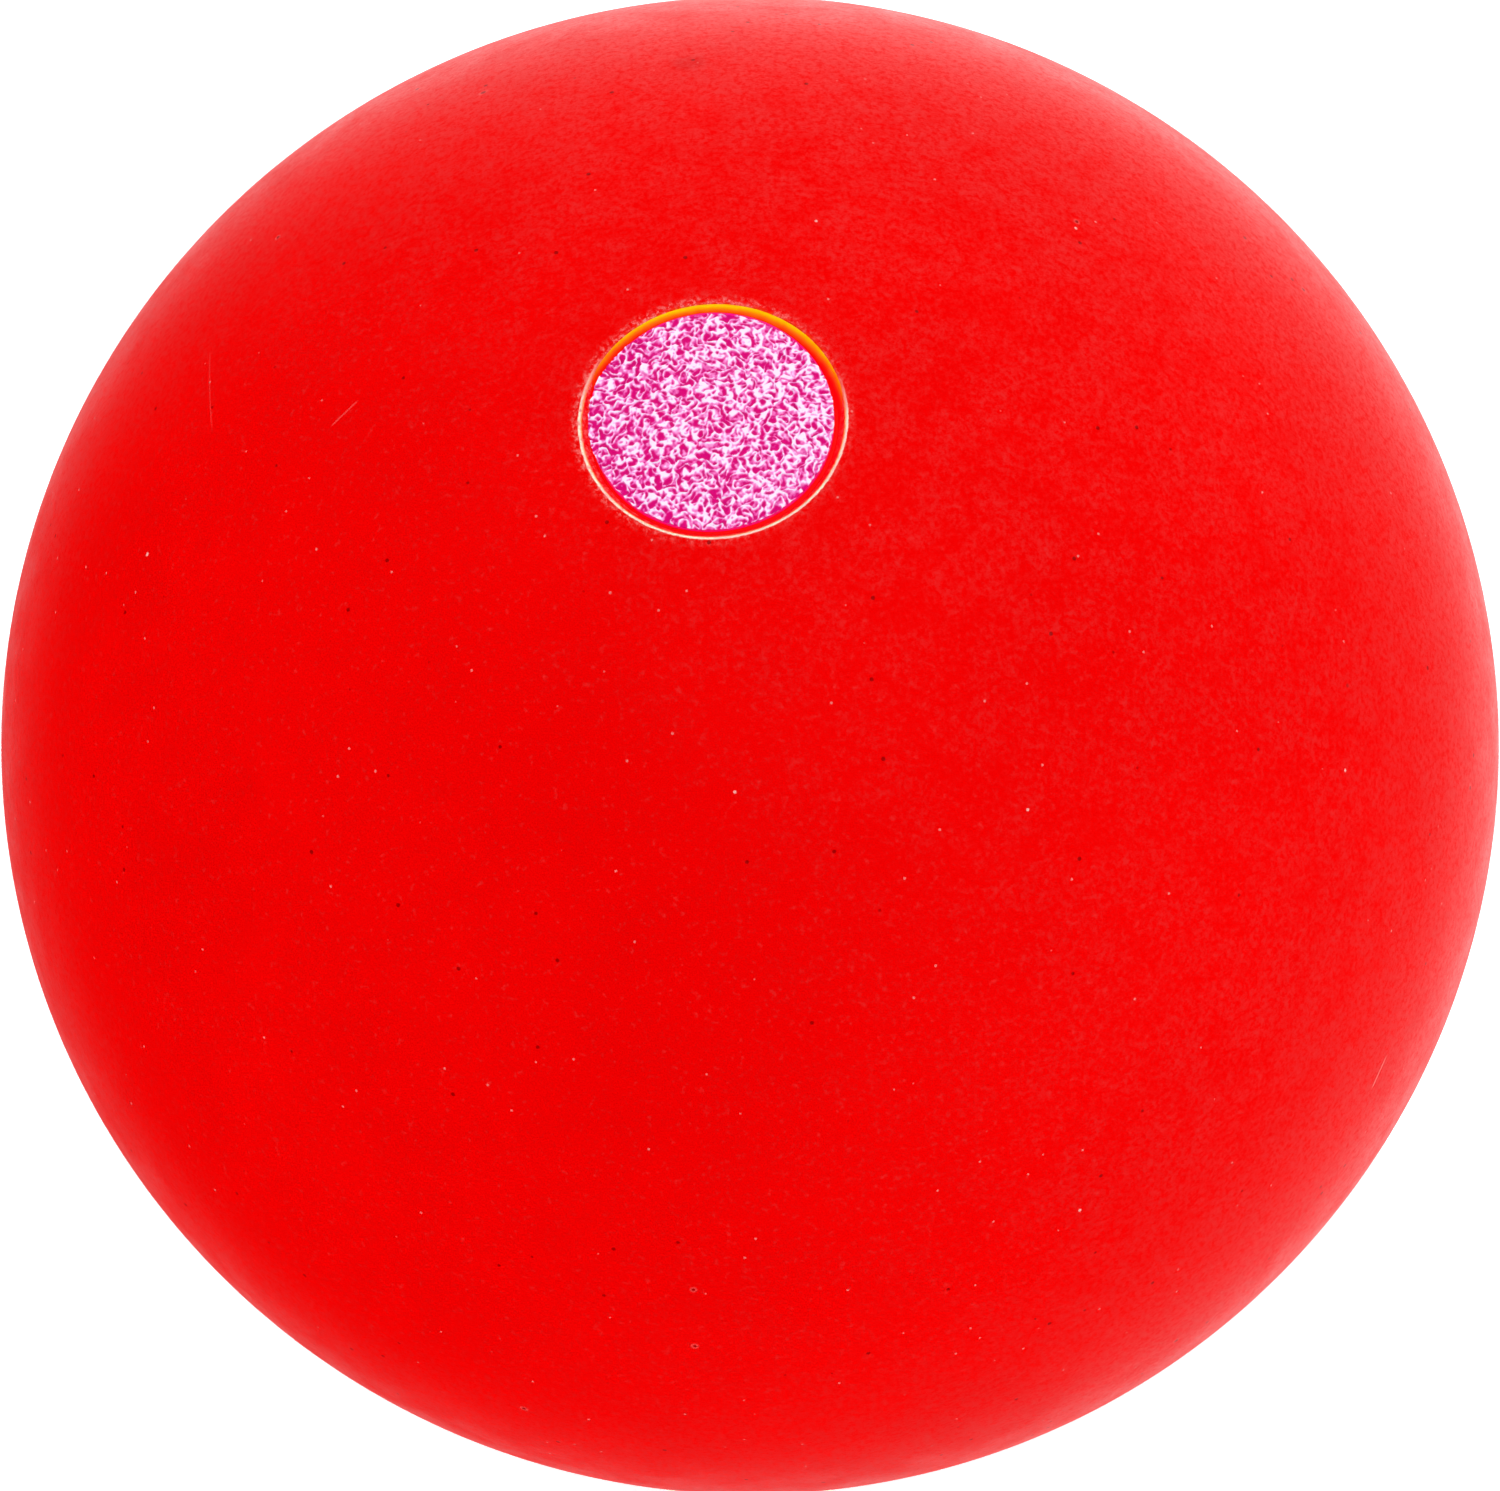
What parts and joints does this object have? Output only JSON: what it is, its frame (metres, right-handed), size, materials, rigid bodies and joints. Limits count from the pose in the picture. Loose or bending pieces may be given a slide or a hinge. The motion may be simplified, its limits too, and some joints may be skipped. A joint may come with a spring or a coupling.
{
  "type": "croquet ball",
  "caption": "Full-size croquet ball: a seamless moulded plastic casing over a cork and rubber core, with the mould stem's hole closed by a bonded plug, flush in a small chamfered mouth.",
  "frame": {"origin": "centre of the ball", "axes": "+Z along the plug's axis, out of the mouth; the ball is round about Z, so X and Y are free"},
  "size_m": [0.092, 0.092, 0.0922],
  "materials": {
    "casing_plastic": "satin",
    "core_composition": "matte",
    "plug_composition": "matte",
    "bond_resin": "gloss"
  },
  "bodies": {
    "root": {"casing": "casing_plastic", "core": "core_composition", "plug": "plug_composition", "plug_bond": "bond_resin"}
  },
  "joints": []
}
